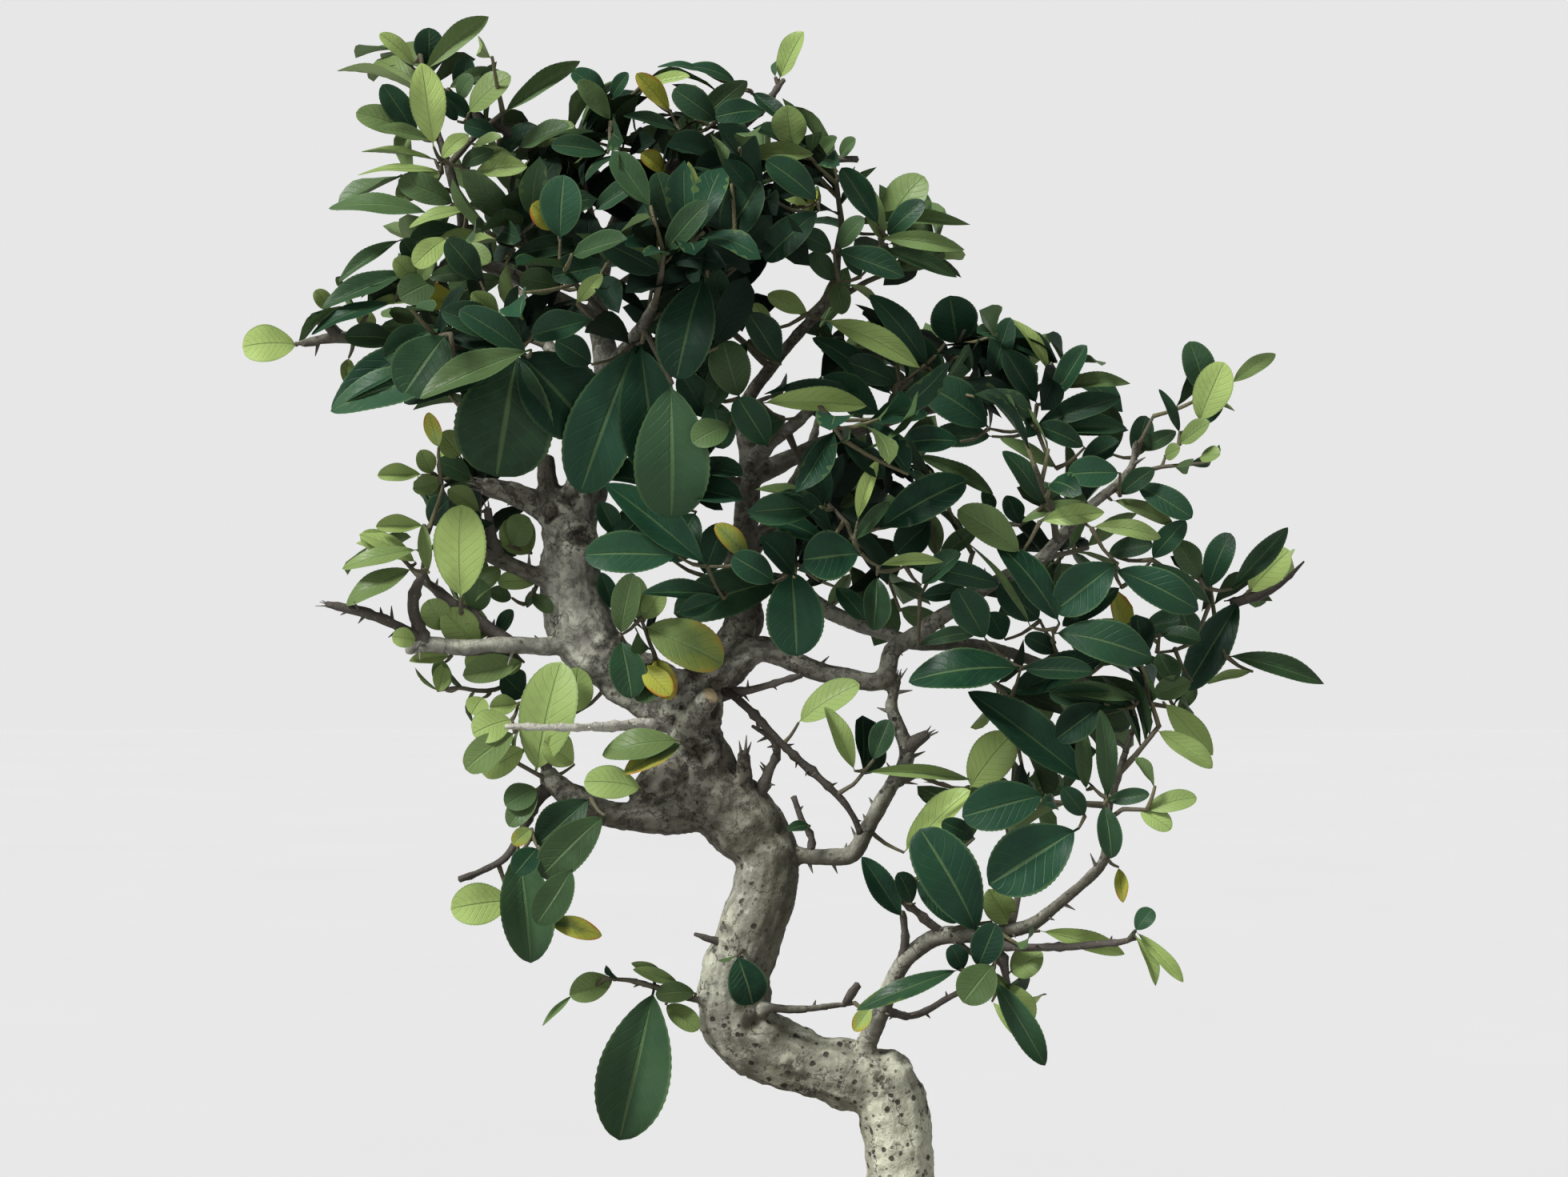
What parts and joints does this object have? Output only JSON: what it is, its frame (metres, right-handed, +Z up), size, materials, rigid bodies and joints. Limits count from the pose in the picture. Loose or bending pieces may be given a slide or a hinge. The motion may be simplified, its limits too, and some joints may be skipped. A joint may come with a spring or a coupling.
{
  "type": "potted pyracantha bonsai",
  "caption": "Pyracantha grown as a bonsai: a knotty trunk with sharp bends, bare stubs and glossy leafy sprays, rooted in soil in a plain glazed tray on feet.",
  "frame": {"origin": "middle of the whole object's box, on the surface that it stands on", "axes": "+Z up, -Y is the side seen in the picture, +X to the right from there"},
  "size_m": [0.3338, 0.199, 0.4629],
  "materials": {
    "bark": "rough grey beige bark with dark lenticels and knots",
    "leaf": "glossy dark green leaf, paler beneath",
    "glaze": "plain glaze",
    "soil": "granular bonsai soil",
    "mesh": "black plastic drain mesh"
  },
  "bodies": {
    "root": {"pot": "glaze", "soil": "soil", "drain_mesh_left": "mesh", "drain_mesh_right": "mesh", "trunk": "bark", "bough_front": "leaf", "bough_front_right": "leaf", "bough_back": "leaf", "bough_back_left": "leaf", "bough_crown_back": "leaf", "bough_crown_top": "leaf", "bough_far_left": "leaf", "bough_pad": "leaf", "spray_top_left_tip": "leaf", "spray_top_left_out": "leaf", "spray_top_left_in": "leaf", "spray_left_rosette": "leaf", "spray_crown_mid_left": "leaf", "spray_crown_high_left": "leaf", "spray_crown_high_mid": "leaf", "spray_crown_inner": "leaf", "spray_leader_tip": "leaf", "spray_leader_right": "leaf", "spray_leader_mid": "leaf", "spray_leader_light": "leaf", "spray_middle_left": "leaf", "spray_middle_deep": "leaf", "spray_middle_hanging": "leaf", "spray_right_heart": "leaf", "spray_right_upper": "leaf", "spray_right_crest": "leaf", "spray_right_feather": "leaf", "spray_right_back": "leaf", "spray_right_tip": "leaf", "spray_right_long": "leaf", "spray_right_low": "leaf", "spray_right_mid_back": "leaf", "spray_low_right_top": "leaf", "spray_low_right_mid": "leaf", "spray_low_right_left": "leaf", "spray_low_right_inner": "leaf", "spray_low_right_cluster": "leaf", "spray_low_right_end": "leaf", "spray_low_right_back": "leaf", "spray_low_left": "leaf", "spray_trunk_leaf": "leaf", "spray_left_arm_up": "leaf", "spray_left_oval": "leaf", "spray_left_arm_low": "leaf", "spray_left_arm_far": "leaf", "spray_left_behind": "leaf", "spray_low_left_light": "leaf", "spray_low_left_hanging": "leaf", "spray_neck_green": "leaf", "spray_neck_yellow": "leaf", "spray_dark_twig": "leaf"}
  },
  "joints": []
}
